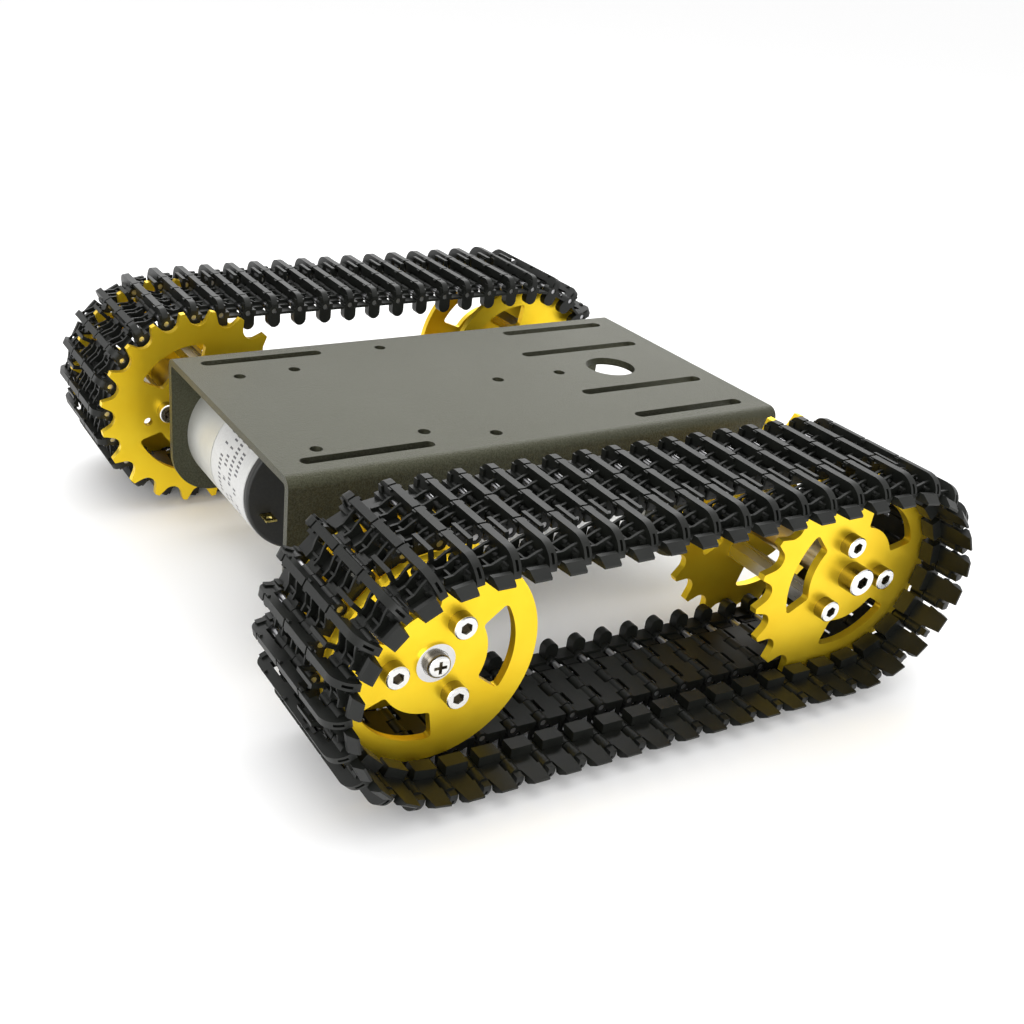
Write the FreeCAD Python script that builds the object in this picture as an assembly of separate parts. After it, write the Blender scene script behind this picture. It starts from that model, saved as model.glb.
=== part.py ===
import FreeCAD, Part
import math
import os

# Tracked robot chassis: a folded aluminium deck, two gear motors at opposite
# corners, two toothed drive wheels, two plain idler wheels and two link tracks.
#
# Millimetres. +X is the direction of travel, +Y is the left side, +Z is up.
# The origin is on the ground, under the middle of the deck.
# The chassis is the same again when it is turned half a turn about Z, so the
# left side is built (motor at the -X end) and the right side is its copy.

V = FreeCAD.Vector
Y_AXIS = V(0, 1, 0)

# ---- track and wheels: driving dimensions ----
PITCH = 8.2                    # hinge to hinge
TEETH = 20                     # on a drive wheel
RUN_LINKS = 14                 # links between the wheel centres
FIN_H = 4.2                    # grouser top above the hinge line
TOOTH_TIP_R = 29.0
TOOTH_ROOT_R = 25.0
TOOTH_FOOT_R = TOOTH_ROOT_R + 1.5   # the straight flanks end here
TOOTH_TIP_HALF = 1.35          # degrees either side of a tooth's middle
TOOTH_FOOT_HALF = 3.7
IDLER_R = 25.1
DISC_T = 2.0

PITCH_R = PITCH / (2 * math.sin(math.pi / TEETH))
AXIS_Z = PITCH_R + FIN_H
WHEEL_X = RUN_LINKS * PITCH / 2
LINKS = 2 * RUN_LINKS + TEETH

# ---- stations across the vehicle, measured outward from the middle ----
SPROCKET_IN_Y = 56.4
SPROCKET_OUT_Y = 87.7
IDLER_IN_Y = 64.9
IDLER_OUT_Y = 85.25
TRACK_IN_Y = 60.0
TRACK_OUT_Y = 103.3
IDLER_GAP = (64.1, 67.7)       # inner idler disc runs here
DRIVE_GAP = (84.6, 90.4)       # outer discs run here
OUT_EDGE = 98.6                # outer end of the hinges

# ---- track link: u to the next hinge, v outward, w away from the wheels ----
HINGE_R = 1.5
PIN_R = 0.75
WEB_U = (2.1, PITCH - 2.1)     # plate between the two rows of knuckles
PLATE_LOW = -1.0
PLATE_TOP = -0.3
ARM_TOP = 0.9
RIB_H = 1.3
RIB_T = 0.6
GUSSET_TOP = 2.9
GUSSETS = (66.2, 70.0, 74.8, 77.4, 81.4, 84.2, 90.8, 93.8, 97.4)
CROSS_U = 4.2
CROSS_RIBS = ((66.2, 70.0), (74.8, 77.4), (81.4, 84.2), (93.8, 97.4))
OWN_KNUCKLES = ((TRACK_IN_Y, 64.1), (72.4, 76.8), (81.8, 84.6), (94.4, OUT_EDGE))
NEXT_KNUCKLES = ((67.7, 72.1), (77.1, 81.5), (90.4, 94.1))
FIN_T = 1.8
FIN_FLAT = (TRACK_IN_Y + 2.6, 95.8)
FIN_CLEAR = 1.85               # fin underside above the next link's knuckles
FIN_BRIDGE = 3.35              # fin underside over the drive wheel teeth
FIN_LOW = 0.2                  # underside of the fin's inner end
NOTCHES = (64.6, 75.4, 86.4)
NOTCH_W = 0.6
NOTCH_DEEP = 0.7
SHOULDER_T = 2.8               # wider stretch of the crest behind each notch
SHOULDER_TOP = FIN_H - 0.2
END_BLOCK_TOP = 2.8            # thick block at the fin's inner end
SHOULDER_LEN = 1.3
FOOT_V = 100.6                 # outer foot of the fin
FOOT_SLOT = 0.6
FOOT_SLOT_LEN = 2.6
FOOT_SLOT_W = (0.6, 2.6)       # its lower and upper end
FLAP_BASE = (1.2, 6.6)
FLAP_TIP = (1.9, 5.9)
STRAP_U = (4.8, 5.8)
STRAP_T = 0.6
STRAP_LOW = 3.4                # underside, clear of the tooth tips
INNER_LUG_R = 1.9
INNER_LUG_LEN = 2.6
OUTER_LUG_LOW = -3.4
OUTER_LUG_U = (1.4, PITCH - 1.4)
OUTER_LUG_V = (DRIVE_GAP[1], 94.1)
RAISED_T = 0.8                 # raised plate over the inner idler disc
RAISED_LAP = 0.5               # how far it runs over its neighbours
CROSS_T = 0.5

# ---- deck ----
DECK_LEN = 142.6
DECK_W = 82.4
DECK_T = 2.0
DECK_TOP = 53.2
BEND_R = 3.0
RAIL_Z = 38.0                  # lower edge of the side walls between the tabs
TAB_Z = 13.0
TAB_W = 37.4
TAB_R = 12.0
WALL_OUT = DECK_W / 2
WALL_IN = WALL_OUT - DECK_T
SLOT_W = 3.4
SLOT_X = (30.0, 65.0)          # the four corner slots, from the middle outward
SLOT_Y = 33.0
INNER_SLOT_X = (25.6, 65.4)
INNER_SLOT_Y = 15.2
HOLE_R = 1.6
DECK_HOLES = ((-58.5, 21.5), (-42.5, 22.5), (-12.0, 32.0), (-12.0, -32.0),
              (8.0, 0.0), (28.0, 0.0), (-29.0, -26.0), (-58.5, -27.5))
CABLE_R = 7.0
CABLE_X = 45.5

# ---- gear motor ----
MOTOR_R = 16.5
SHAFT_OFFSET = 7.0
MOTOR_X = -WHEEL_X + SHAFT_OFFSET
GEARBOX_END = 20.7
CAN_END = -3.0
MOTOR_END = -5.0
COVER_T = 2.0
GEARBOX_WALL = 1.8
CAN_R = 16.3
SHAFT_R = 3.0
BOSS_R = 6.0
MOUNT_R = 14.0                 # mounting screw circle
MOUNT_HEAD_H = 2.0
BUSH_LEN = 6.0
CASE_END_T = 1.5               # end walls of gearbox and can
CAN_WALL = 1.2
CAP_BOSS_R = 4.0
CAP_BOSS_H = 1.2
RUN_FIT = 0.05                 # radial play of a turning shaft
PRESS_FIT = 0.02               # radial gap of parts fixed together

# ---- solder tags ----
TAG_CIRCLE = 11.9
TAG_TURN = 202.0
TAG_W = 3.0
TAG_T = 0.5
TAG_OUT = 4.2
TAG_HOLE_R = 0.8
TAG_HOLE_OUT = 2.6

# ---- magnets and rotor ----
MAGNET_IN_R = 12.6
MAGNET_Y = (0.5, 16.5)
MAGNET_GAP = 6.0
CORE_R = 12.0
CORE_Y = (2.0, 15.0)
CORE_SLOTS = 5
CORE_SLOT_R = (5.0, 14.0)
CORE_SLOT_W = 1.6
CORE_TURN = 20.0
COMMUTATOR_R = 3.0
COMMUTATOR_Y = (-1.8, 1.0)
NECK_R = 2.0
ROTOR_SHAFT_R = 1.0

# ---- gear train: 12:36 twice ----
GEAR_M = 0.3
PINION_Z = 12
WHEEL_Z = 36
GEAR_A = GEAR_M * (PINION_Z + WHEEL_Z) / 2 + 0.05   # between centres, with some play
CLUSTER_PIN_R = 0.75
ROTOR_PINION_Y = (23.0, 25.7)
CLUSTER_WHEEL_Y = (23.2, 25.6)
CLUSTER_PINION_Y = (25.6, 30.2)
OUTPUT_GEAR_Y = (26.4, 29.8)
OUTPUT_SHAFT_START = 26.2
CLUSTER_DX = -SHAFT_OFFSET / 2
CLUSTER_DZ = math.sqrt(GEAR_A ** 2 - CLUSTER_DX ** 2)

# ---- fasteners ----
M3_R = 1.5
M3_HEAD_R = 2.75
M3_HEAD_H = 3.0
M3_KEY = 2.5
M4_R = 2.0
M4_HEAD_R = 3.6
M4_HEAD_H = 4.4
M4_KEY = 3.0
SCREW_CIRCLE = 10.0
WHEEL_SCREW_LEN = 8.0
HUB_SCREW_LEN = 12.0
STANDOFF_HEX = 5.5

# ---- hub, idler axle and bearings ----
HUB_HEX = 12.0
HUB_STEM_R = 4.5
SHAFT_IN_HUB = 4.0             # how far the shaft reaches past the inner disc
SHAFT_FLAT = 2.5               # from the shaft's middle to its flat
SET_SCREW_Y = 50.0
BEARING_W = 3.0
FLANGE_T = 0.6
FLANGE_R = 4.6
BEARING_R = 4.0
RING_OUTER_BORE = 3.05
RING_INNER_R = 2.95
AXLE_R = 2.0
AXLE_HEX = 8.0
AXLE_SHOULDER_R = 2.8
AXLE_SHOULDER_T = 0.6
AXLE_SCREW_R = 1.25

# ---- wheel windows and where the first screw of each wheel stands ----
WINDOW_IN_R = 12.8
WINDOW_OUT_R = 19.6
WINDOW_HALF = 33.0
WINDOW_TAPER = 3.0             # degrees narrower at the inner arc
WINDOW_ROUND = 1.0
EXTRA_HOLE = (15.5, 12.0, 1.2)     # a drive disc's extra hole: radius out, turn, its own radius
SPROCKET_TURN = {"left": 176.0, "right": -10.0}
IDLER_TURN = {"left": 60.0, "right": 60.0}


def cyl(r, y0, y1, x=0.0, z=0.0):
    """Round bar along Y."""
    return Part.makeCylinder(r, y1 - y0, V(x, y0, z), Y_AXIS)


def tube(r_out, r_in, y0, y1, x=0.0, z=0.0):
    return cyl(r_out, y0, y1, x, z).cut(cyl(r_in, y0 - 1, y1 + 1, x, z))


def block(x0, x1, y0, y1, z0, z1):
    return Part.makeBox(x1 - x0, y1 - y0, z1 - z0, V(x0, y0, z0))


def polar(r, degrees, x=0.0, z=0.0):
    a = math.radians(degrees)
    return x + r * math.cos(a), z + r * math.sin(a)


def prism(points, y0, y1):
    """Flat outline in X and Z, made thick along Y."""
    loop = [V(x, y0, z) for x, z in points]
    face = Part.Face(Part.makePolygon(loop + [loop[0]]))
    return face.extrude(V(0, y1 - y0, 0))


def hexagon(across_flats, y0, y1, x=0.0, z=0.0):
    r = across_flats / math.sqrt(3)
    return prism([polar(r, 60 * k + 30, x, z) for k in range(6)], y0, y1)


def fuse(shapes):
    first, rest = shapes[0], shapes[1:]
    return (first.multiFuse(rest) if rest else first).removeSplitter()


def cut(shape, tools):
    return shape.cut(Part.makeCompound(tools)) if tools else shape


def group(shapes):
    return Part.makeCompound(shapes)


# ---------------------------------------------------------------- fasteners

def cap_screw(r, head_r, head_h, key, seat_y, length, x, z, out=1):
    """Socket cap screw whose head stands outward (out=1) or inward (-1) of seat_y."""
    head = cyl(head_r, 0, head_h)
    head = head.makeChamfer(0.25, [e for e in head.Edges if e.BoundBox.YMin > head_h - 0.01])
    socket = hexagon(key, head_h * 0.45, head_h + 1)
    screw = fuse([head.cut(socket), cyl(r, -length, 0)])
    if out < 0:
        screw.rotate(V(0, 0, 0), V(0, 0, 1), 180)
    screw.translate(V(x, seat_y, z))
    return screw


def pan_screw(r, head_r, head_h, seat_y, length, x, z, out=1):
    """Cross-recess pan head screw."""
    head = cyl(head_r, 0, head_h)
    head = head.makeFillet(head_h * 0.45, [e for e in head.Edges if e.BoundBox.YMin > head_h - 0.01])
    arm_l, arm_w, depth = head_r * 0.55, head_r * 0.14, head_h * 0.55
    cross = [block(-arm_l, arm_l, head_h - depth, head_h + 1, -arm_w, arm_w),
             block(-arm_w, arm_w, head_h - depth, head_h + 1, -arm_l, arm_l)]
    screw = fuse([cut(head, cross), cyl(r, -length, 0)])
    if out < 0:
        screw.rotate(V(0, 0, 0), V(0, 0, 1), 180)
    screw.translate(V(x, seat_y, z))
    return screw


def circle_points(turn, radius, x, z):
    return [polar(radius, turn + 120 * k, x, z) for k in range(3)]


# --------------------------------------------------------------------- deck

def rounded_slot(x0, x1, y):
    r = SLOT_W / 2
    z0, h = DECK_TOP - DECK_T - 1, DECK_T + 2
    ends = [Part.makeCylinder(r, h, V(x, y, z0)) for x in (x0 + r, x1 - r)]
    return fuse([block(x0 + r, x1 - r, y - r, y + r, z0, z0 + h)] + ends)


def long_edges(box, z):
    """Edges of a box that run along X at height z."""
    return [e for e in box.Edges if abs(e.BoundBox.ZMin - z) < 0.01 and e.BoundBox.YLength < 0.01]


def wall_shape(y0, y1):
    """Side walls seen from the side: a rail with a rounded tab at each end, from y0 to y1."""
    half = DECK_LEN / 2
    top = DECK_TOP + 1
    solids = [block(-half, half, y0, y1, RAIL_Z, top)]
    for side in (-1, 1):
        x0, x1 = sorted((side * half, side * (half - TAB_W)))
        tab = block(x0, x1, y0, y1, TAB_Z, top)
        corners = [e for e in tab.Edges
                   if e.BoundBox.ZMax < TAB_Z + 0.01 and e.BoundBox.XLength < 0.01]
        solids.append(tab.makeFillet(TAB_R, corners))
    return fuse(solids)


def wall_holes(y0, y1):
    """Motor boss, motor screws and idler axle holes of the left wall."""
    holes = [cyl(BOSS_R + 0.3, y0, y1, -WHEEL_X, AXIS_Z),
             cyl(M4_R + 0.1, y0, y1, WHEEL_X, AXIS_Z)]
    holes += [cyl(M3_R + 0.1, y0, y1, x, z) for x, z in motor_screw_points()]
    return holes


def deck():
    """Sheet folded down along both sides, with the wall outline, slots and holes cut."""
    half_l, half_w = DECK_LEN / 2, DECK_W / 2
    outer = block(-half_l, half_l, -half_w, half_w, 0, DECK_TOP)
    outer = outer.makeFillet(BEND_R, long_edges(outer, DECK_TOP))
    inner = block(-half_l - 1, half_l + 1, -WALL_IN, WALL_IN, -1, DECK_TOP - DECK_T)
    inner = inner.makeFillet(BEND_R - DECK_T, long_edges(inner, DECK_TOP - DECK_T))
    shell = outer.cut(inner).common(wall_shape(-half_w - 1, half_w + 1))
    slots = []
    for side in (-1, 1):
        slots += [rounded_slot(-SLOT_X[1], -SLOT_X[0], side * SLOT_Y),
                  rounded_slot(SLOT_X[0], SLOT_X[1], side * SLOT_Y),
                  rounded_slot(INNER_SLOT_X[0], INNER_SLOT_X[1], side * INNER_SLOT_Y)]
    low, deep = DECK_TOP - 2 * DECK_T, 3 * DECK_T
    slots += [Part.makeCylinder(HOLE_R, deep, V(x, y, low)) for x, y in DECK_HOLES]
    slots.append(Part.makeCylinder(CABLE_R, deep, V(CABLE_X, 0, low)))
    left = wall_holes(WALL_IN - 1, WALL_OUT + 1)
    right = [half_turn(h) for h in left]
    return cut(shell, slots + left + right).removeSplitter()


# --------------------------------------------------------------- gear motor

def motor_screw_points():
    return [polar(MOUNT_R, a, MOTOR_X, AXIS_Z) for a in (0, 120, 240)]


def gear(teeth, y0, y1, x, z, turn):
    """Spur gear with straight-sided teeth and generous backlash, a tooth at angle turn."""
    pitch_r = GEAR_M * teeth / 2
    root, tip = pitch_r - 1.15 * GEAR_M, pitch_r + 0.85 * GEAR_M
    step = 360.0 / teeth
    foot, crest = 0.27 * step, 0.10 * step
    points = []
    for k in range(teeth):
        a = turn + k * step
        points += [polar(root, a - foot, x, z), polar(tip, a - crest, x, z),
                   polar(tip, a + crest, x, z), polar(root, a + foot, x, z)]
    return prism(points, y0, y1)


MESH_A = math.degrees(math.atan2(CLUSTER_DZ, CLUSTER_DX))
MESH_B = math.degrees(math.atan2(-CLUSTER_DZ, -SHAFT_OFFSET - CLUSTER_DX))


def gearbox_cover():
    y0, y1 = WALL_IN - COVER_T, WALL_IN
    plate = cyl(MOTOR_R, y0, y1, MOTOR_X, AXIS_Z)
    boss = cyl(BOSS_R, y0, WALL_OUT - 0.2, -WHEEL_X, AXIS_Z)
    bush = cyl(BOSS_R - 1, y0 - BUSH_LEN, y0, -WHEEL_X, AXIS_Z)
    cover = fuse([plate, boss, bush])
    holes = [cyl(SHAFT_R + RUN_FIT, y0 - BUSH_LEN - 1, WALL_OUT + 1, -WHEEL_X, AXIS_Z)]
    holes += [cyl(M3_R, y0 - 1, y1 + 1, x, z) for x, z in motor_screw_points()]
    return cut(cover, holes)


def gearbox_housing():
    y1 = WALL_IN - COVER_T
    body = cyl(MOTOR_R, GEARBOX_END, y1, MOTOR_X, AXIS_Z)
    hollow = cyl(MOTOR_R - GEARBOX_WALL, GEARBOX_END + CASE_END_T, y1 + 1, MOTOR_X, AXIS_Z)
    way = cyl(ROTOR_SHAFT_R + RUN_FIT, GEARBOX_END - 1, y1, MOTOR_X, AXIS_Z)
    return cut(body, [hollow, way])


def cluster_pin():
    x, z = MOTOR_X + CLUSTER_DX, AXIS_Z + CLUSTER_DZ
    return cyl(CLUSTER_PIN_R, GEARBOX_END + CASE_END_T, WALL_IN - COVER_T, x, z)


def cluster_gear():
    x, z = MOTOR_X + CLUSTER_DX, AXIS_Z + CLUSTER_DZ
    big = gear(WHEEL_Z, *CLUSTER_WHEEL_Y, x, z, MESH_A + 180 + 180 / WHEEL_Z)
    small = gear(PINION_Z, *CLUSTER_PINION_Y, x, z, MESH_B)
    return fuse([big, small]).cut(
        cyl(CLUSTER_PIN_R + RUN_FIT, GEARBOX_END, WALL_IN, x, z))


def motor_can():
    body = cyl(CAN_R, CAN_END, GEARBOX_END, MOTOR_X, AXIS_Z)
    hollow = cyl(CAN_R - CAN_WALL, CAN_END - 1, GEARBOX_END - CASE_END_T, MOTOR_X, AXIS_Z)
    way = cyl(ROTOR_SHAFT_R + RUN_FIT, CAN_END, GEARBOX_END + 1, MOTOR_X, AXIS_Z)
    return cut(body, [hollow, way])


def motor_label():
    """Paper band round the can, with its seam underneath."""
    band = tube(MOTOR_R, CAN_R, CAN_END + 0.1, GEARBOX_END - 0.6, MOTOR_X, AXIS_Z)
    seam = block(MOTOR_X - 0.6, MOTOR_X + 0.6, CAN_END - 1, GEARBOX_END + 1,
                 AXIS_Z - MOTOR_R - 1, AXIS_Z - CAN_R + 2)
    return band.cut(seam)


def terminal_points():
    return [polar(TAG_CIRCLE, TAG_TURN + 180 * k, MOTOR_X, AXIS_Z) for k in range(2)]


def motor_endcap():
    cap = cyl(CAN_R, MOTOR_END, CAN_END, MOTOR_X, AXIS_Z)
    cap = cap.makeFillet(0.8, [e for e in cap.Edges if e.BoundBox.YMax < MOTOR_END + 0.01])
    boss = cyl(CAP_BOSS_R, MOTOR_END - CAP_BOSS_H, MOTOR_END, MOTOR_X, AXIS_Z)
    tools = [cyl(ROTOR_SHAFT_R + RUN_FIT, MOTOR_END, CAN_END + 1, MOTOR_X, AXIS_Z)]
    half_w, half_t = TAG_W / 2 + 0.1, TAG_T / 2 + 0.1
    for x, z in terminal_points():
        tools.append(block(x - half_w, x + half_w, MOTOR_END - 1, CAN_END + 1, z - half_t, z + half_t))
    return cut(fuse([cap, boss]), tools)


def motor_terminals():
    """Two brass solder tags, each with a wire hole."""
    tags = []
    half_w, half_t = TAG_W / 2, TAG_T / 2
    for x, z in terminal_points():
        tag = block(x - half_w, x + half_w, MOTOR_END - TAG_OUT, CAN_END + 0.8, z - half_t, z + half_t)
        hole = Part.makeCylinder(TAG_HOLE_R, 3, V(x, MOTOR_END - TAG_HOLE_OUT, z - 1.5))
        tags.append(tag.cut(hole))
    return group(tags)


def motor_magnets():
    ring = tube(CAN_R - CAN_WALL - 0.05, MAGNET_IN_R, *MAGNET_Y, MOTOR_X, AXIS_Z)
    half = MAGNET_GAP / 2
    gap = block(MOTOR_X - half, MOTOR_X + half, MAGNET_Y[0] - 0.5, MAGNET_Y[1] + 0.5,
                AXIS_Z - 20, AXIS_Z + 20)
    return group(ring.cut(gap).Solids)


def motor_rotor():
    core = cyl(CORE_R, *CORE_Y, MOTOR_X, AXIS_Z)
    slots = []
    for k in range(CORE_SLOTS):
        slot = block(MOTOR_X + CORE_SLOT_R[0], MOTOR_X + CORE_SLOT_R[1], CORE_Y[0] - 1, CORE_Y[1] + 1,
                     AXIS_Z - CORE_SLOT_W / 2, AXIS_Z + CORE_SLOT_W / 2)
        slot.rotate(V(MOTOR_X, 0, AXIS_Z), Y_AXIS, 360 / CORE_SLOTS * k + CORE_TURN)
        slots.append(slot)
    commutator = cyl(COMMUTATOR_R, *COMMUTATOR_Y, MOTOR_X, AXIS_Z)
    shaft = cyl(ROTOR_SHAFT_R, MOTOR_END + 0.3, ROTOR_PINION_Y[0] + 0.4, MOTOR_X, AXIS_Z)
    neck = cyl(NECK_R, COMMUTATOR_Y[1], CORE_Y[0], MOTOR_X, AXIS_Z)
    pinion = gear(PINION_Z, *ROTOR_PINION_Y, MOTOR_X, AXIS_Z, MESH_A)
    return fuse([cut(core, slots), neck, commutator, shaft, pinion])


def motor_screws():
    length = WALL_OUT - WALL_IN + COVER_T
    return group([cap_screw(M3_R, M3_HEAD_R, MOUNT_HEAD_H, M3_KEY, WALL_OUT, length, x, z)
                  for x, z in motor_screw_points()])


# --------------------------------------------------------------- drive wheel

def output_shaft():
    """Shaft with the last gear of the train pressed on, and a flat outside."""
    end_y = SPROCKET_IN_Y + SHAFT_IN_HUB
    bar = cyl(SHAFT_R, OUTPUT_SHAFT_START, end_y, -WHEEL_X, AXIS_Z)
    flat = block(-WHEEL_X - 4, -WHEEL_X + 4, WALL_OUT + 2, end_y + 1, AXIS_Z + SHAFT_FLAT, AXIS_Z + 4)
    last = gear(WHEEL_Z, *OUTPUT_GEAR_Y, -WHEEL_X, AXIS_Z, MESH_B + 180 + 180 / WHEEL_Z)
    return fuse([bar.cut(flat), last])


def hub():
    """Coupling: hexagon up to the inner disc, round from there to the outer disc."""
    nut = hexagon(HUB_HEX, WALL_OUT + 2.8, SPROCKET_IN_Y, -WHEEL_X, AXIS_Z)
    stem = cyl(HUB_STEM_R, SPROCKET_IN_Y, SPROCKET_OUT_Y, -WHEEL_X, AXIS_Z)
    bore = cyl(SHAFT_R + PRESS_FIT, WALL_OUT, SPROCKET_IN_Y + SHAFT_IN_HUB, -WHEEL_X, AXIS_Z)
    flat = block(-WHEEL_X - 4, -WHEEL_X + 4, WALL_OUT, SPROCKET_IN_Y + SHAFT_IN_HUB + 1,
                 AXIS_Z + SHAFT_FLAT + PRESS_FIT, AXIS_Z + 4)
    thread = cyl(M4_R + PRESS_FIT, SPROCKET_OUT_Y - HUB_SCREW_LEN, SPROCKET_OUT_Y + 1,
                 -WHEEL_X, AXIS_Z)
    grub = Part.makeCylinder(M3_R, 12, V(-WHEEL_X, SET_SCREW_Y, AXIS_Z + 1))
    return cut(fuse([nut, stem]), [bore.cut(flat), thread, grub])


def hub_screw():
    return cap_screw(M4_R, M4_HEAD_R, M4_HEAD_H, M4_KEY, SPROCKET_OUT_Y + DISC_T,
                     HUB_SCREW_LEN, -WHEEL_X, AXIS_Z)


def tooth_outline(x, z):
    """Closed wire round the toothed rim, as arcs and straight flanks."""
    step = 360.0 / TEETH
    edges = []
    last = None
    for k in range(TEETH):
        a = 90 + (k + 0.5) * step
        tip_l = V(*xz(polar(TOOTH_TIP_R, a - TOOTH_TIP_HALF, x, z)))
        tip_m = V(*xz(polar(TOOTH_TIP_R, a, x, z)))
        tip_r = V(*xz(polar(TOOTH_TIP_R, a + TOOTH_TIP_HALF, x, z)))
        foot_l = V(*xz(polar(TOOTH_FOOT_R, a - TOOTH_FOOT_HALF, x, z)))
        foot_r = V(*xz(polar(TOOTH_FOOT_R, a + TOOTH_FOOT_HALF, x, z)))
        next_l = V(*xz(polar(TOOTH_FOOT_R, a + step - TOOTH_FOOT_HALF, x, z)))
        root = V(*xz(polar(TOOTH_ROOT_R, a + step / 2, x, z)))
        last = last or foot_l
        edges += [Part.makeLine(foot_l, tip_l),
                  Part.Arc(tip_l, tip_m, tip_r).toShape(),
                  Part.makeLine(tip_r, foot_r),
                  Part.Arc(foot_r, root, next_l if k < TEETH - 1 else last).toShape()]
    return Part.Wire(edges)


def xz(point):
    return point[0], 0.0, point[1]


def window(centre_angle, x, z):
    """Kidney-shaped window between two spokes."""
    lo, hi = centre_angle - WINDOW_HALF, centre_angle + WINDOW_HALF
    inner_half = WINDOW_HALF - WINDOW_TAPER
    p = [V(*xz(polar(r, a, x, z))) for r, a in
         ((WINDOW_IN_R, centre_angle - inner_half), (WINDOW_IN_R, centre_angle),
          (WINDOW_IN_R, centre_angle + inner_half), (WINDOW_OUT_R, hi),
          (WINDOW_OUT_R, centre_angle), (WINDOW_OUT_R, lo))]
    wire = Part.Wire([Part.Arc(p[0], p[1], p[2]).toShape(), Part.makeLine(p[2], p[3]),
                      Part.Arc(p[3], p[4], p[5]).toShape(), Part.makeLine(p[5], p[0])])
    solid = Part.Face(wire).extrude(V(0, 10, 0))
    return solid.makeFillet(WINDOW_ROUND, [e for e in solid.Edges if e.BoundBox.YLength > 9])


def disc(outline, y0, x, z, turn, centre_r, extra_hole):
    """Wheel disc: rim outline, three windows, three screw holes and a centre hole."""
    plate = Part.Face(outline).extrude(V(0, DISC_T, 0))
    tools = [window(turn + 60 + 120 * k, x, z) for k in range(3)]
    for t in tools:
        t.translate(V(0, -4, 0))
    tools += [cyl(M3_R + 0.05, -1, DISC_T + 1, sx, sz)
              for sx, sz in circle_points(turn, SCREW_CIRCLE, x, z)]
    tools.append(cyl(centre_r, -1, DISC_T + 1, x, z))
    if extra_hole:
        out, ahead, radius = EXTRA_HOLE
        tools.append(cyl(radius, -1, DISC_T + 1, *polar(out, turn + ahead, x, z)))
    plate = cut(plate, tools)
    plate.translate(V(0, y0, 0))
    return plate


def sprocket_disc(y0, turn, centre_r):
    return disc(tooth_outline(-WHEEL_X, AXIS_Z), y0, -WHEEL_X, AXIS_Z, turn, centre_r, True)


def idler_disc(y0, turn):
    rim = Part.Wire([Part.makeCircle(IDLER_R, V(WHEEL_X, 0, AXIS_Z), Y_AXIS)])
    return disc(rim, y0, WHEEL_X, AXIS_Z, turn, BEARING_R + PRESS_FIT, False)


def standoffs(y0, y1, turn, x):
    bars = []
    for sx, sz in circle_points(turn, SCREW_CIRCLE, x, AXIS_Z):
        bar = hexagon(STANDOFF_HEX, y0, y1, sx, sz)
        bars.append(bar.cut(cyl(M3_R + PRESS_FIT, y0 - 1, y1 + 1, sx, sz)))
    return group(bars)


def wheel_screws(y_in, y_out, turn, x):
    screws = []
    for sx, sz in circle_points(turn, SCREW_CIRCLE, x, AXIS_Z):
        screws.append(cap_screw(M3_R, M3_HEAD_R, M3_HEAD_H, M3_KEY, y_out + DISC_T,
                                WHEEL_SCREW_LEN, sx, sz))
        screws.append(cap_screw(M3_R, M3_HEAD_R, M3_HEAD_H, M3_KEY, y_in,
                                WHEEL_SCREW_LEN, sx, sz, -1))
    return group(screws)


# --------------------------------------------------------------- idler wheel

def bearing_seats():
    """Outer faces of the two bearing flanges, and which way each points."""
    return [(IDLER_IN_Y - FLANGE_T, 1), (IDLER_OUT_Y + DISC_T + FLANGE_T, -1)]


def bearing_outer_rings():
    rings = []
    for y, way in bearing_seats():
        a, b, c = y, y + way * FLANGE_T, y + way * BEARING_W
        flange = cyl(FLANGE_R, min(a, b), max(a, b), WHEEL_X, AXIS_Z)
        body = cyl(BEARING_R, min(b, c), max(b, c), WHEEL_X, AXIS_Z)
        hollow = cyl(RING_OUTER_BORE, y - 4, y + 4, WHEEL_X, AXIS_Z)
        rings.append(fuse([flange, body]).cut(hollow))
    return group(rings)


def bearing_inner_rings():
    rings = []
    for y, way in bearing_seats():
        a, b = sorted((y, y + way * BEARING_W))
        rings.append(tube(RING_INNER_R, AXLE_R + PRESS_FIT, a, b, WHEEL_X, AXIS_Z))
    return group(rings)


def idler_axle():
    shoulder = IDLER_IN_Y - FLANGE_T
    end = IDLER_OUT_Y + DISC_T + 0.4
    body = fuse([hexagon(AXLE_HEX, WALL_OUT, shoulder - AXLE_SHOULDER_T, WHEEL_X, AXIS_Z),
                 cyl(AXLE_SHOULDER_R, shoulder - AXLE_SHOULDER_T, shoulder, WHEEL_X, AXIS_Z),
                 cyl(AXLE_R, shoulder, end, WHEEL_X, AXIS_Z)])
    return cut(body, [cyl(M4_R + PRESS_FIT, WALL_OUT - 1, WALL_OUT + 9, WHEEL_X, AXIS_Z),
                      cyl(AXLE_SCREW_R + PRESS_FIT, end - 8, end + 1, WHEEL_X, AXIS_Z)])


def axle_end_screw():
    return pan_screw(AXLE_SCREW_R, 2.8, 2.0, IDLER_OUT_Y + DISC_T + FLANGE_T, 7.0, WHEEL_X, AXIS_Z)


def axle_wall_screw():
    return pan_screw(M4_R, 3.8, 2.4, WALL_IN, 10.0, WHEEL_X, AXIS_Z, -1)


# --------------------------------------------------------------------- track

def link_box(u, v, w):
    return block(u[0], u[1], v[0], v[1], w[0], w[1])


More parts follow.
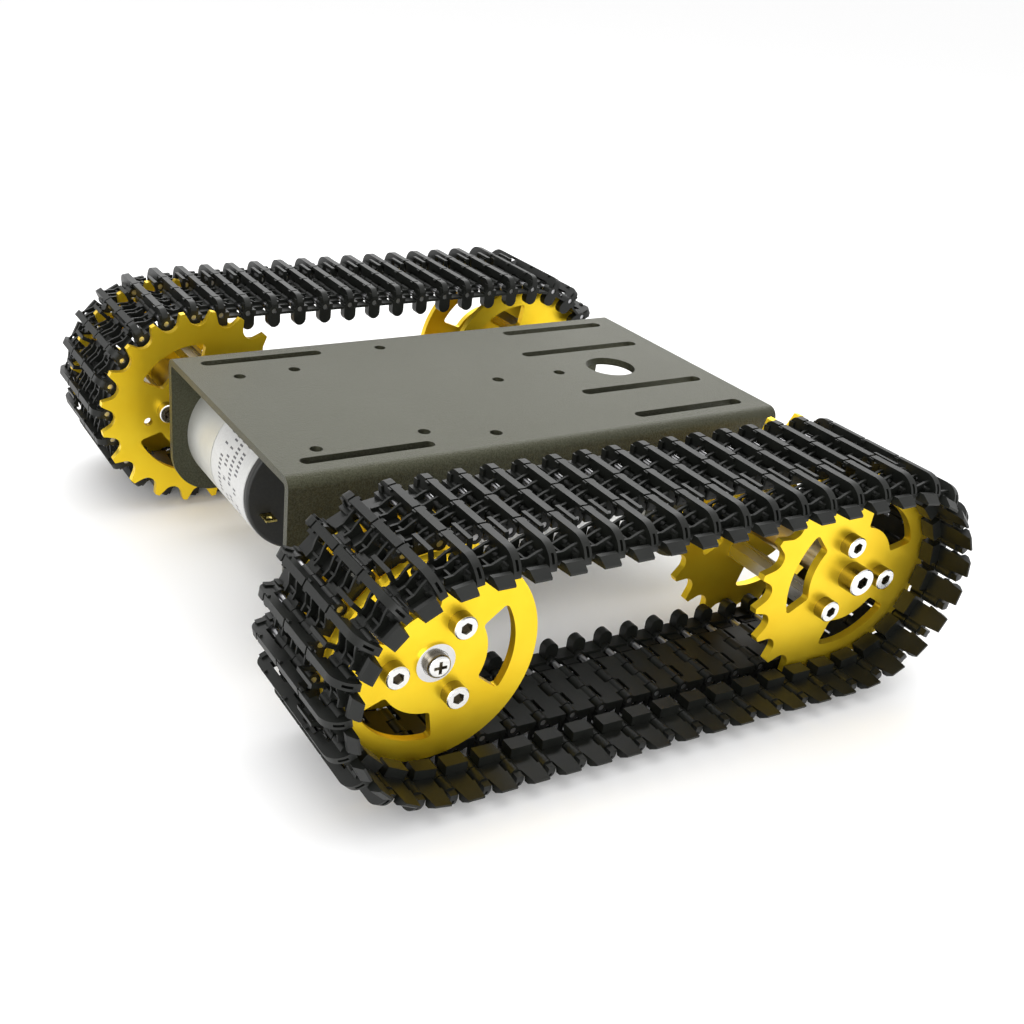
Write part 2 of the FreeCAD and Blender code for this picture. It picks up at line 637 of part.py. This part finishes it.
def bend(v_flat, v_tip, w_tip):
    """Arc in v and w that leaves the flat fin crest at v_flat and ends at (v_tip, w_tip)."""
    run, drop = abs(v_tip - v_flat), FIN_H - w_tip
    radius = (run ** 2 + drop ** 2) / (2 * drop)
    way = 1 if v_tip > v_flat else -1
    end = math.atan2(w_tip - FIN_H + radius, run)
    middle = (end + math.pi / 2) / 2
    u = -FIN_T / 2
    return Part.Arc(V(u, v_flat, FIN_H),
                    V(u, v_flat + way * radius * math.cos(middle),
                      FIN_H - radius + radius * math.sin(middle)),
                    V(u, v_tip, w_tip)).toShape()


def fin():
    """Grouser across the whole link, bent down at both ends, with a stepped crest."""
    def run(*points):
        spots = [V(-FIN_T / 2, v, w) for v, w in points]
        return [Part.makeLine(p, q) for p, q in zip(spots, spots[1:])]
    a, b = DRIVE_GAP
    inner_round = (TRACK_IN_Y, FIN_H - FIN_FLAT[0] + TRACK_IN_Y)
    inner_tip, outer_tip = (TRACK_IN_Y, FIN_LOW), (FOOT_V, PLATE_LOW)
    path = run(inner_tip, inner_round)
    path.append(bend(FIN_FLAT[0], *inner_round))
    path += run((FIN_FLAT[0], FIN_H), (FIN_FLAT[1], FIN_H))
    path.append(bend(FIN_FLAT[1], *outer_tip))
    path += run(outer_tip, (OUT_EDGE, PLATE_LOW), (OUT_EDGE, FIN_CLEAR), (b, FIN_CLEAR),
                (b, FIN_BRIDGE), (a, FIN_BRIDGE), (a, FIN_CLEAR), (IDLER_GAP[0], FIN_CLEAR),
                (IDLER_GAP[0], FIN_LOW), inner_tip)
    solid = Part.Face(Part.Wire(path)).extrude(V(FIN_T, 0, 0))
    half = NOTCH_W / 2
    wide = (-SHOULDER_T / 2, SHOULDER_T / 2)
    shoulders = [link_box(wide, (v + half, v + half + SHOULDER_LEN), (FIN_BRIDGE, SHOULDER_TOP))
                 for v in NOTCHES]
    shoulders.append(link_box(wide, (TRACK_IN_Y + 0.3, TRACK_IN_Y + 1.8), (FIN_LOW, END_BLOCK_TOP)))
    notches = [link_box((-2, 2), (v - half, v + half), (FIN_H - NOTCH_DEEP, FIN_H + 1))
               for v in NOTCHES]
    foot_slot = link_box((-FOOT_SLOT / 2, FOOT_SLOT / 2), (FOOT_V - FOOT_SLOT_LEN, FOOT_V + 1),
                         FOOT_SLOT_W)
    return cut(fuse([solid] + shoulders), notches + [foot_slot])


def prism_v(points, v0, v1):
    """Outline of (u, w) points, drawn out from v0 to v1."""
    wire = Part.makePolygon([V(u, v0, w) for u, w in points + points[:1]])
    return Part.Face(wire).extrude(V(0, v1 - v0, 0))


def gusset(v):
    """Rib that runs down from the fin and along the plate towards the next hinge."""
    root, low = 0.2, PLATE_TOP - 0.2
    outline = [(root, FIN_CLEAR), (root, GUSSET_TOP), (WEB_U[0], GUSSET_TOP - 0.6),
               (CROSS_U, RIB_H), (WEB_U[1], RIB_H), (WEB_U[1], low), (WEB_U[0], low),
               (WEB_U[0], FIN_CLEAR)]
    return prism_v(outline, v - RIB_T / 2, v + RIB_T / 2)


def flap():
    """Tapered tongue at the outer edge, with a sloping end."""
    outline = [V(0, v, w) for v, w in ((OUT_EDGE - 1, PLATE_LOW), (TRACK_OUT_Y, PLATE_LOW),
                                       (TRACK_OUT_Y, PLATE_LOW + 0.5), (TRACK_OUT_Y - 2.0, 0.9),
                                       (TRACK_OUT_Y - 3.1, 0.9), (TRACK_OUT_Y - 3.4, PLATE_TOP),
                                       (OUT_EDGE - 1, PLATE_TOP))]
    tongue = Part.Face(Part.makePolygon(outline + outline[:1])).extrude(V(PITCH, 0, 0))
    plan = [V(u, v, -2) for u, v in ((FLAP_BASE[0], OUT_EDGE - 1), (FLAP_BASE[1], OUT_EDGE - 1),
                                     (FLAP_TIP[1], TRACK_OUT_Y), (FLAP_TIP[0], TRACK_OUT_Y))]
    return tongue.common(Part.Face(Part.makePolygon(plan + plan[:1])).extrude(V(0, 0, 4)))


def window_strap():
    """Bar over the drive window between two fins, high enough for the teeth to pass under."""
    a, b = DRIVE_GAP
    u0, u1 = STRAP_U
    top = STRAP_LOW + STRAP_T
    parts = [link_box((u0, u1), (a - STRAP_T, b + STRAP_T), (STRAP_LOW, top))]
    for v0, v1 in ((a - STRAP_T, a), (b, b + STRAP_T)):
        parts.append(link_box((u0, u1), (v0, v1), (PLATE_TOP - 0.1, top)))
    return fuse(parts)


def knuckles():
    """Hinge barrels of this link and of its joint to the next, with their arms."""
    parts = []
    for v in OWN_KNUCKLES:
        parts.append(cyl(HINGE_R, v[0], v[1]))
        parts.append(link_box((-FIN_T / 2, FIN_T / 2), v, (0, FIN_CLEAR + 0.1)))
        parts.append(link_box((0, WEB_U[0] + 0.3), v, (PLATE_LOW, ARM_TOP)))
    for v in NEXT_KNUCKLES:
        parts.append(cyl(HINGE_R, v[0], v[1], PITCH))
        parts.append(link_box((WEB_U[1] - 0.6, PITCH), v, (PLATE_LOW, ARM_TOP)))
    return parts


def lugs():
    """Guides that reach in past the wheels: rounded at the inner edge, a box outside them."""
    inner = (TRACK_IN_Y, TRACK_IN_Y + INNER_LUG_LEN)
    drop = PLATE_LOW - INNER_LUG_R
    return [link_box((-INNER_LUG_R, INNER_LUG_R), inner, (drop, FIN_LOW)),
            cyl(INNER_LUG_R, inner[0], inner[1], 0, drop),
            link_box(OUTER_LUG_U, OUTER_LUG_V, (OUTER_LUG_LOW, PLATE_TOP))]


def link():
    """One link. u (here X) runs to the next hinge, v (Y) outward, w (Z) away from the wheels."""
    a, b = IDLER_GAP
    parts = [fin(), flap(), window_strap()] + knuckles() + lugs()
    for v in ((TRACK_IN_Y, a), (b, DRIVE_GAP[0]), (DRIVE_GAP[1], OUT_EDGE)):
        parts.append(link_box(WEB_U, v, (PLATE_LOW, PLATE_TOP)))
    parts.append(link_box(WEB_U, (a - RAISED_LAP, b + RAISED_LAP), (PLATE_TOP, PLATE_TOP + RAISED_T)))
    parts += [gusset(v) for v in GUSSETS]
    parts += [link_box((CROSS_U, CROSS_U + CROSS_T), v, (PLATE_TOP - 0.1, RIB_H - 0.3))
              for v in CROSS_RIBS]
    bores = [cyl(PIN_R + RUN_FIT, TRACK_IN_Y - 1, OUT_EDGE + 0.1, u) for u in (0, PITCH)]
    return cut(fuse(parts), bores).removeSplitter()


def hinge_points():
    """Hinge lines of one track, clockwise from the top of the drive wheel, as (x, z)."""
    step = 360.0 / TEETH
    points = [(-WHEEL_X + k * PITCH, AXIS_Z + PITCH_R) for k in range(RUN_LINKS)]
    points += [polar(PITCH_R, 90 - k * step, WHEEL_X, AXIS_Z) for k in range(TEETH // 2)]
    points += [(WHEEL_X - k * PITCH, AXIS_Z - PITCH_R) for k in range(RUN_LINKS)]
    points += [polar(PITCH_R, -90 - k * step, -WHEEL_X, AXIS_Z) for k in range(TEETH // 2)]
    return points


def on_loop(shape):
    """Copies of a link-frame shape, one at each hinge of the loop."""
    points = hinge_points()
    copies = []
    for k, (x, z) in enumerate(points):
        nx, nz = points[(k + 1) % LINKS]
        angle = math.degrees(math.atan2(nz - z, nx - x))
        copy = shape.copy()
        copy.rotate(V(0, 0, 0), Y_AXIS, -angle)
        copy.translate(V(x, 0, z))
        copies.append(copy)
    return copies


def track_links():
    return group(on_loop(link()))


def track_pins():
    """Hinge pins: a long inner one and a short outer one at each hinge."""
    inner = cyl(PIN_R, TRACK_IN_Y + 0.4, DRIVE_GAP[0] - 0.2)
    outer = cyl(PIN_R, DRIVE_GAP[1] + 0.2, OUT_EDGE - 0.2)
    return group(on_loop(inner) + on_loop(outer))


# ------------------------------------------------------------------ assembly

def half_turn(shape):
    copy = shape.copy()
    copy.rotate(V(0, 0, 0), V(0, 0, 1), 180)
    return copy


def side_parts(side):
    """Every part of one side, built on the left; turns say where the wheels stand at rest."""
    s_turn = SPROCKET_TURN[side]
    i_turn = IDLER_TURN[side]
    if side == "right":
        s_turn, i_turn = 180 - s_turn, 180 - i_turn
    return {
        "gearbox_housing": gearbox_housing(),
        "gearbox_cover": gearbox_cover(),
        "gearbox_cluster_pin": cluster_pin(),
        "gearbox_cluster_gear": cluster_gear(),
        "motor_can": motor_can(),
        "motor_label": motor_label(),
        "motor_endcap": motor_endcap(),
        "motor_terminals": motor_terminals(),
        "motor_magnets": motor_magnets(),
        "motor_rotor": motor_rotor(),
        "motor_screws": motor_screws(),
        "output_shaft": output_shaft(),
        "hub_coupling": hub(),
        "hub_screw": hub_screw(),
        "sprocket_inner": sprocket_disc(SPROCKET_IN_Y, s_turn,
                                       HUB_STEM_R + PRESS_FIT),
        "sprocket_outer": sprocket_disc(SPROCKET_OUT_Y, s_turn, M4_R + 0.1),
        "sprocket_standoffs": standoffs(SPROCKET_IN_Y + DISC_T, SPROCKET_OUT_Y, s_turn, -WHEEL_X),
        "sprocket_screws": wheel_screws(SPROCKET_IN_Y, SPROCKET_OUT_Y, s_turn, -WHEEL_X),
        "idler_inner": idler_disc(IDLER_IN_Y, i_turn),
        "idler_outer": idler_disc(IDLER_OUT_Y, i_turn),
        "idler_standoffs": standoffs(IDLER_IN_Y + DISC_T, IDLER_OUT_Y, i_turn, WHEEL_X),
        "idler_screws": wheel_screws(IDLER_IN_Y, IDLER_OUT_Y, i_turn, WHEEL_X),
        "idler_bearing_outer": bearing_outer_rings(),
        "idler_bearing_inner": bearing_inner_rings(),
        "idler_axle": idler_axle(),
        "idler_axle_screw": axle_end_screw(),
        "idler_wall_screw": axle_wall_screw(),
        "track_links": track_links(),
        "track_pins": track_pins(),
    }


def main():
    os.makedirs("parts", exist_ok=True)
    deck().exportStep("parts/chassis_deck.step")
    for name, shape in side_parts("left").items():
        shape.exportStep("parts/" + name + "_left.step")
    for name, shape in side_parts("right").items():
        half_turn(shape).exportStep("parts/" + name + "_right.step")


main()
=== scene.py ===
import math

import bpy
from mathutils import Matrix, Vector


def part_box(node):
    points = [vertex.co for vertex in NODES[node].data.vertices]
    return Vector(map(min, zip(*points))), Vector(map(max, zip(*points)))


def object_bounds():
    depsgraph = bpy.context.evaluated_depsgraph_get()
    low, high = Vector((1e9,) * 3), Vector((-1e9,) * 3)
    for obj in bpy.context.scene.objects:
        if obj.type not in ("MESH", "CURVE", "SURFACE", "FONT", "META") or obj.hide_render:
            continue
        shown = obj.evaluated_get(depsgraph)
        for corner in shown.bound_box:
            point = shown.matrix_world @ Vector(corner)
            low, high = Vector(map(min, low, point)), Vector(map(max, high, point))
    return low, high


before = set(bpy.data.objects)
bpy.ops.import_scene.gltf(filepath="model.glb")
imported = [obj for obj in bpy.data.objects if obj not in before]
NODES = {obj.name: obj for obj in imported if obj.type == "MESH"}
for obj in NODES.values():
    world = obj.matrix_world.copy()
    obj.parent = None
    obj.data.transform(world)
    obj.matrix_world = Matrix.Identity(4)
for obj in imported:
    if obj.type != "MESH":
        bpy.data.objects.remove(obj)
CAD_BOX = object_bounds()

# Lengths are in metres, from the ground under the middle of the deck. Angles are in degrees.

# ---- camera: azimuth turns about Z from the right side (-Y), roll about the line of sight ----
AZIMUTH = -29.72
ELEVATION = 30.57
ROLL = 4.87
TARGET = Vector((-0.0525, -0.0602, 0.0274))
DISTANCE = 0.2829
SENSOR_MM = 36.0
LENS_MM = 44.0156
LENS_SHIFT = (0.11426, 0.09277)
CLIP = (0.01, 20.0)

# ---- lights: place, aim, size and power in watts ----
LIGHTS = {
    "behind": ((0.42, 0.72, 0.62), (0, 0, 0.05), (1.1, 0.7), 4.5),
    "overhead": ((-0.05, 0.0, 0.9), (0, 0, 0.03), (0.8, 0.8), 2.5),
    "front": ((-0.5, -0.8, 0.35), (0, 0, 0.03), (0.6, 0.4), 4.0),
}
WORLD_STRENGTH = 1.0

# ---- floor ----
FLOOR_HALF = 6.0
FLOOR_GAP = 0.0002         # under the lowest point of the tracks
FLOOR_COLOUR = (0.97, 0.97, 0.97, 1)

# ---- details drawn by the materials ----
FACE_DEPTH = 0.0004        # how far in from its end face a screw head keeps its bright steel colour; deeper faces get painted shade
LINE_PITCH = 0.0036        # across the rows of dashes on the motor label
LINE_HALF = 0.24           # half the width of a row, as a share of LINE_PITCH
ROWS_EACH_WAY = 2
DASH_PITCH = 0.0012        # along a row
DASH_SHARE = 0.48          # inked part of each dash pitch
DASH_MISSING = 0.4         # share of the dashes that is left out
ALONG_Y = (1, 0.05, 1)     # draws a grain out along turned or extruded bars


# ------------------------------------------------------------------ shader helpers

class Nodes:
    """A small builder for one material's node tree."""

    def __init__(self, name):
        self.material = bpy.data.materials.new(name)
        self.material.use_nodes = True
        self.tree = self.material.node_tree
        self.shader = self.tree.nodes["Principled BSDF"]

    def add(self, kind, **settings):
        node = self.tree.nodes.new(kind)
        for key, value in settings.items():
            setattr(node, key, value)
        return node

    def link(self, source, target):
        self.tree.links.new(source, target)

    def put(self, socket, value):
        """Give a socket a number, a colour or another node's output."""
        if isinstance(value, bpy.types.NodeSocket):
            self.link(value, socket)
        else:
            socket.default_value = value

    def shader_values(self, **values):
        for key, value in values.items():
            self.put(self.shader.inputs[key.replace("_", " ")], value)

    def position(self, stretch=(1, 1, 1)):
        """Place on the piece at rest, so a pattern turns with it."""
        coords = self.add("ShaderNodeTexCoord")
        mapping = self.add("ShaderNodeMapping")
        mapping.inputs["Scale"].default_value = stretch
        self.link(coords.outputs["Object"], mapping.inputs["Vector"])
        return mapping.outputs["Vector"]

    def axes(self):
        """The three coordinates of position()."""
        split = self.add("ShaderNodeSeparateXYZ")
        self.link(self.position(), split.inputs["Vector"])
        return split.outputs

    def noise(self, per_metre, detail, roughness=0.55, stretch=(1, 1, 1)):
        node = self.add("ShaderNodeTexNoise")
        node.inputs["Scale"].default_value = per_metre
        node.inputs["Detail"].default_value = detail
        node.inputs["Roughness"].default_value = roughness
        self.link(self.position(stretch), node.inputs["Vector"])
        return node.outputs["Fac"]

    def ramp(self, value, *stops):
        """Colour from two stops, each a place from 0 to 1 and a colour."""
        node = self.add("ShaderNodeValToRGB")
        for element, (place, colour) in zip(node.color_ramp.elements, stops):
            element.position = place
            element.color = (*colour, 1)
        self.link(value, node.inputs["Fac"])
        return node.outputs["Color"]

    def span(self, value, low, high):
        """Stretch a value that runs from 0 to 1, to run from low to high."""
        node = self.add("ShaderNodeMapRange")
        node.inputs["To Min"].default_value = low
        node.inputs["To Max"].default_value = high
        self.link(value, node.inputs["Value"])
        return node.outputs["Result"]

    def math(self, operation, first, second=0.0):
        node = self.add("ShaderNodeMath", operation=operation)
        for socket, value in zip(node.inputs, (first, second)):
            self.put(socket, value)
        return node.outputs["Value"]

    def mix(self, factor, first, second):
        """Blend from the output first to the plain colour second."""
        node = self.add("ShaderNodeMix", data_type="RGBA")
        factor_in, first_in, second_in = node.inputs[0], node.inputs[6], node.inputs[7]
        self.link(factor, factor_in)
        self.link(first, first_in)
        second_in.default_value = (*second, 1)
        return node.outputs[2]

    def bump(self, height, strength, distance):
        node = self.add("ShaderNodeBump")
        node.inputs["Strength"].default_value = strength
        node.inputs["Distance"].default_value = distance
        self.link(height, node.inputs["Height"])
        self.link(node.outputs["Normal"], self.shader.inputs["Normal"])


# ----------------------------------------------------------------------- materials

def deck_coating():
    """Fine-grained satin black coat, grey only where it mirrors the light."""
    n = Nodes("deck_coating")
    grain = n.noise(2300, detail=3, roughness=0.75)
    cloud = n.noise(40, detail=3)
    colour = n.ramp(grain, (0.40, (0.006, 0.006, 0.004)), (0.60, (0.032, 0.033, 0.024)))
    polish = n.math("ADD", n.span(grain, -0.12, 0.12), n.span(cloud, 0.37, 0.43))
    n.shader_values(Base_Color=colour, Roughness=polish)
    n.shader.inputs["Specular IOR Level"].default_value = 0.5
    n.shader.inputs["Specular Tint"].default_value = (1.0, 1.0, 0.62, 1)
    n.bump(grain, strength=0.6, distance=0.0003)
    return n.material


def gold_anodised():
    """Gold anodised aluminium, with a faint drift of colour."""
    n = Nodes("gold_anodised")
    fine = n.noise(5200, detail=2)
    cloud = n.noise(70, detail=3)
    colour = n.ramp(cloud, (0.3, (0.93, 0.62, 0.020)), (0.7, (0.98, 0.70, 0.034)))
    n.shader_values(Base_Color=colour, Metallic=0.88, Roughness=n.span(fine, 0.30, 0.44))
    n.bump(fine, strength=0.12, distance=0.00005)
    return n.material


def track_plastic():
    """Black nylon, a little greyer and duller in patches."""
    n = Nodes("track_plastic")
    cloud = n.noise(160, detail=4)
    fine = n.noise(1800, detail=3)
    colour = n.ramp(cloud, (0.35, (0.0030, 0.0036, 0.0027)), (0.72, (0.0075, 0.0085, 0.0065)))
    n.shader_values(Base_Color=colour, Roughness=n.span(cloud, 0.36, 0.52))
    n.shader.inputs["Specular IOR Level"].default_value = 0.32
    n.bump(fine, strength=0.15, distance=0.00008)
    return n.material


def black_moulding():
    """Smooth moulded end cap."""
    n = Nodes("black_moulding")
    fine = n.noise(1400, detail=3)
    colour = n.ramp(fine, (0.3, (0.011, 0.011, 0.010)), (0.7, (0.020, 0.020, 0.018)))
    n.shader_values(Base_Color=colour, Roughness=n.span(fine, 0.42, 0.58))
    n.bump(fine, strength=0.12, distance=0.00006)
    return n.material


def metal(name, colour, roughness, grain=900, stretch=(1, 1, 1), bump=0.08, metallic=1.0):
    """Plain worked metal: a little colour drift, uneven polish and a fine surface."""
    n = Nodes(name)
    fine = n.noise(grain, detail=3, stretch=stretch)
    cloud = n.noise(90, detail=2)
    darker = tuple(part * 0.86 for part in colour)
    n.shader_values(Base_Color=n.ramp(cloud, (0.3, darker), (0.7, colour)), Metallic=metallic,
                    Roughness=n.span(fine, roughness * 0.75, roughness * 1.3))
    n.bump(fine, bump, distance=0.00004)
    return n.material


def steel_with_painted_shade(node_name):
    """Steel that is bright on the outermost faces along Y, with painted shade darkening the sockets
    and the head sides.
    """
    n = Nodes(node_name)
    low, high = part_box(node_name)
    y = n.axes()["Y"]
    depth = n.math("MINIMUM", n.math("SUBTRACT", high.y, y), n.math("SUBTRACT", y, low.y))
    # painted shade: faces more than FACE_DEPTH in from both end faces along Y (hex sockets and head
    # sides) get a dark colour in place of the steel
    painted_shade_mask = n.math("GREATER_THAN", depth, FACE_DEPTH)
    fine = n.noise(1100, detail=3)
    bright = n.ramp(fine, (0.3, (0.74, 0.74, 0.73)), (0.7, (0.86, 0.86, 0.85)))
    # the dark colour mixed in here is painted shade for the sockets and sides
    n.shader_values(Base_Color=n.mix(painted_shade_mask, bright, (0.20, 0.18, 0.14)), Metallic=1.0,
                    Roughness=n.span(fine, 0.16, 0.3))
    n.bump(fine, strength=0.08, distance=0.00004)
    return n.material


def label_ink(n, side):
    """1 on the dashes of a motor label and 0 between them: rows round the can, with gaps."""
    low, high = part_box("motor_label_" + side)
    middle = (low + high) / 2
    radius = (high.z - low.z) / 2
    x, y, z = n.axes()
    angle = n.math("ARCTAN2", n.math("SUBTRACT", z, middle.z), n.math("SUBTRACT", x, middle.x))
    dash = n.math("DIVIDE", n.math("MULTIPLY", angle, radius), DASH_PITCH)
    across = n.math("SUBTRACT", y, middle.y)
    row = n.math("DIVIDE", across, LINE_PITCH)
    from_line = n.math("ABSOLUTE", n.math("SUBTRACT", n.math("FRACT", row), 0.5))
    cell = n.add("ShaderNodeCombineXYZ")
    n.link(n.math("FLOOR", dash), cell.inputs["X"])
    n.link(n.math("FLOOR", row), cell.inputs["Y"])
    chance = n.add("ShaderNodeTexWhiteNoise", noise_dimensions="2D")
    n.link(cell.outputs["Vector"], chance.inputs["Vector"])
    in_row = n.math("LESS_THAN", from_line, LINE_HALF)
    drawn = n.math("GREATER_THAN", chance.outputs["Value"], DASH_MISSING)
    in_dash = n.math("LESS_THAN", n.math("FRACT", dash), DASH_SHARE)
    printed = n.math("LESS_THAN", n.math("ABSOLUTE", across), LINE_PITCH * ROWS_EACH_WAY)
    return n.math("MULTIPLY", n.math("MULTIPLY", in_row, drawn), n.math("MULTIPLY", in_dash, printed))


def label_paper(side):
    """White paper band printed with plain dashes."""
    n = Nodes("label_" + side)
    fibre = n.noise(1500, detail=4)
    paper = n.ramp(fibre, (0.3, (0.55, 0.55, 0.54)), (0.7, (0.63, 0.63, 0.62)))
    colour = n.mix(label_ink(n, side), paper, (0.10, 0.10, 0.11))
    n.shader_values(Base_Color=colour, Roughness=0.5)
    n.bump(fibre, strength=0.1, distance=0.00004)
    return n.material


def finishes():
    """Pairs of a word in a node's name and its material. The first word that fits counts."""
    gold = gold_anodised()
    casting = metal("zinc_casting", (0.62, 0.62, 0.58), 0.45, grain=1300, bump=0.2, metallic=0.6)
    shaft = metal("axle_steel", (0.56, 0.56, 0.57), 0.3, stretch=ALONG_Y)
    return [
        ("track_links", track_plastic()),
        ("track_pins", metal("pin_wire", (0.45, 0.45, 0.46), 0.35)),
        ("chassis_deck", deck_coating()),
        ("motor_endcap", black_moulding()),
        ("motor_can", metal("plated_steel", (0.60, 0.61, 0.61), 0.3)),
        ("motor_magnets", metal("ferrite", (0.10, 0.10, 0.11), 0.7, metallic=0.2)),
        ("motor_rotor", metal("laminations", (0.42, 0.40, 0.38), 0.5)),
        ("motor_terminals", metal("brass_tags", (0.80, 0.66, 0.22), 0.25)),
        ("hub_coupling", metal("hub_brass", (0.70, 0.58, 0.36), 0.32, stretch=ALONG_Y)),
        ("standoffs", metal("plated_standoffs", (0.62, 0.60, 0.56), 0.28, stretch=ALONG_Y)),
        ("screw", metal("bright_steel", (0.80, 0.80, 0.80), 0.2)),
        ("bearing", metal("bearing_steel", (0.72, 0.72, 0.73), 0.16)),
        ("idler_inner", gold),
        ("idler_outer", gold),
        ("axle", shaft),
        ("gearbox_housing", casting),
        ("gearbox_cover", casting),
        ("gearbox", metal("gear_steel", (0.48, 0.47, 0.45), 0.4)),
        ("output_shaft", shaft),
        ("sprocket_", gold),
    ]


def dress_nodes():
    by_word = finishes()
    wheel_screws = ("sprocket_screws", "idler_screws", "hub_screw", "idler_axle_screw")
    for name, node in NODES.items():
        if name.startswith("motor_label"):
            material = label_paper(name.rsplit("_", 1)[1])
        elif name.startswith(wheel_screws):
            material = steel_with_painted_shade(name)
        else:
            material = next(finish for word, finish in by_word if word in name)
        node.data.materials.clear()
        node.data.materials.append(material)


# ------------------------------------------------------------- floor, light, camera

def make_stage():
    mesh = bpy.data.meshes.new("floor")
    corners = [(x * FLOOR_HALF, y * FLOOR_HALF, 0) for x, y in ((-1, -1), (1, -1), (1, 1), (-1, 1))]
    mesh.from_pydata(corners, [], [(0, 1, 2, 3)])
    floor = bpy.data.objects.new("floor", mesh)
    floor.location.z = CAD_BOX[0].z - FLOOR_GAP
    bpy.context.scene.collection.objects.link(floor)
    n = Nodes("floor")
    n.shader_values(Base_Color=FLOOR_COLOUR, Roughness=0.9)
    mesh.materials.append(n.material)


def area_light(name, place, aim, size, power):
    data = bpy.data.lights.new(name, "AREA")
    data.shape = "RECTANGLE"
    data.size, data.size_y = size
    data.energy = power
    light = bpy.data.objects.new(name, data)
    light.location = place
    light.rotation_euler = (Vector(aim) - Vector(place)).to_track_quat("-Z", "Y").to_euler()
    bpy.context.scene.collection.objects.link(light)


def make_lights():
    world = bpy.data.worlds.new("studio")
    world.use_nodes = True
    background = world.node_tree.nodes["Background"]
    background.inputs["Color"].default_value = (1, 1, 1, 1)
    background.inputs["Strength"].default_value = WORLD_STRENGTH
    bpy.context.scene.world = world
    for name, settings in LIGHTS.items():
        area_light(name, *settings)


def make_camera():
    data = bpy.data.cameras.new("camera")
    camera = bpy.data.objects.new("camera", data)
    bpy.context.scene.collection.objects.link(camera)
    azimuth, elevation = math.radians(AZIMUTH), math.radians(ELEVATION)
    back = Vector((math.sin(azimuth) * math.cos(elevation),
                   -math.cos(azimuth) * math.cos(elevation),
                   math.sin(elevation)))
    roll = Matrix.Rotation(math.radians(ROLL), 3, "Z")
    turn = (-back).to_track_quat("-Z", "Y").to_matrix() @ roll
    camera.matrix_world = Matrix.Translation(TARGET + back * DISTANCE) @ turn.to_4x4()
    data.sensor_width = SENSOR_MM
    data.lens = LENS_MM
    data.shift_x, data.shift_y = LENS_SHIFT
    data.clip_start, data.clip_end = CLIP
    bpy.context.scene.camera = camera


dress_nodes()
make_stage()
make_lights()
make_camera()
bpy.context.scene.view_settings.view_transform = "Standard"
